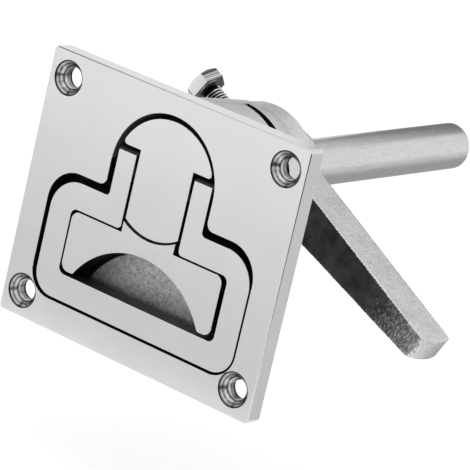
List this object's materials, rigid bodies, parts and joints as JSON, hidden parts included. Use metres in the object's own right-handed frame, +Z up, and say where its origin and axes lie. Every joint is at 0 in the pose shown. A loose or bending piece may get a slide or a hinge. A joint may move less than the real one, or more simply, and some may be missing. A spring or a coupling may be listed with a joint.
{
  "type": "boat hatch latch",
  "caption": "Flush lift-and-turn hatch latch in polished cast stainless steel: rectangular face plate with a folding T-handle, a long rod behind it and a clamped cam arm.",
  "frame": {"origin": "centre of the four screw holes, on the back of the face plate, where it seats on the hatch", "axes": "+X to the right seen from the front, +Y from the face into the hatch along the rod, +Z up the face plate towards the spindle"},
  "size_m": [0.0941, 0.121, 0.0654],
  "materials": {
    "polished_casting": "polished investment-cast stainless steel",
    "polished_handle": "polished stainless steel",
    "turned_steel": "turned stainless steel",
    "rod_steel": "satin drawn stainless steel bar",
    "raw_casting": "blasted investment-cast stainless steel",
    "bolt_steel": "bright stainless steel",
    "seal_rubber": "nitrile rubber",
    "washer_nylon": "natural nylon"
  },
  "bodies": {
    "latch_body": {"face_body": "polished_casting", "barrel_head": "polished_handle", "hinge_pin": "turned_steel", "seal_ring": "seal_rubber", "thrust_washer": "washer_nylon", "disc_spring": "turned_steel"},
    "handle": {"pull_handle": "polished_handle"},
    "spindle_rod": {"spindle": "rod_steel", "stop_pin": "turned_steel"},
    "arm": {"cam_arm": "raw_casting"},
    "bolt": {"clamp_bolt": "bolt_steel"}
  },
  "joints": [
    {"name": "handle_lift", "type": "hinge", "parent": "latch_body", "child": "handle", "pos_m": [0.0003, -0.0016, 0.0108], "axis": [-1, 0, 0], "range_deg": [0, 90]},
    {"name": "spindle_turn", "type": "hinge", "parent": "latch_body", "child": "spindle_rod", "pos_m": [0.0003, 0, 0.0124], "axis": [0, -1, 0], "range_deg": [0, 88]},
    {"name": "arm_slide", "type": "slide", "parent": "spindle_rod", "child": "arm", "axis": [0, 1, 0], "range_m": [0, 0.068]},
    {"name": "bolt_screw", "type": "slide", "parent": "arm", "child": "bolt", "axis": [-0.8988, 0, 0.4384], "range_m": [0, 0.006]}
  ]
}
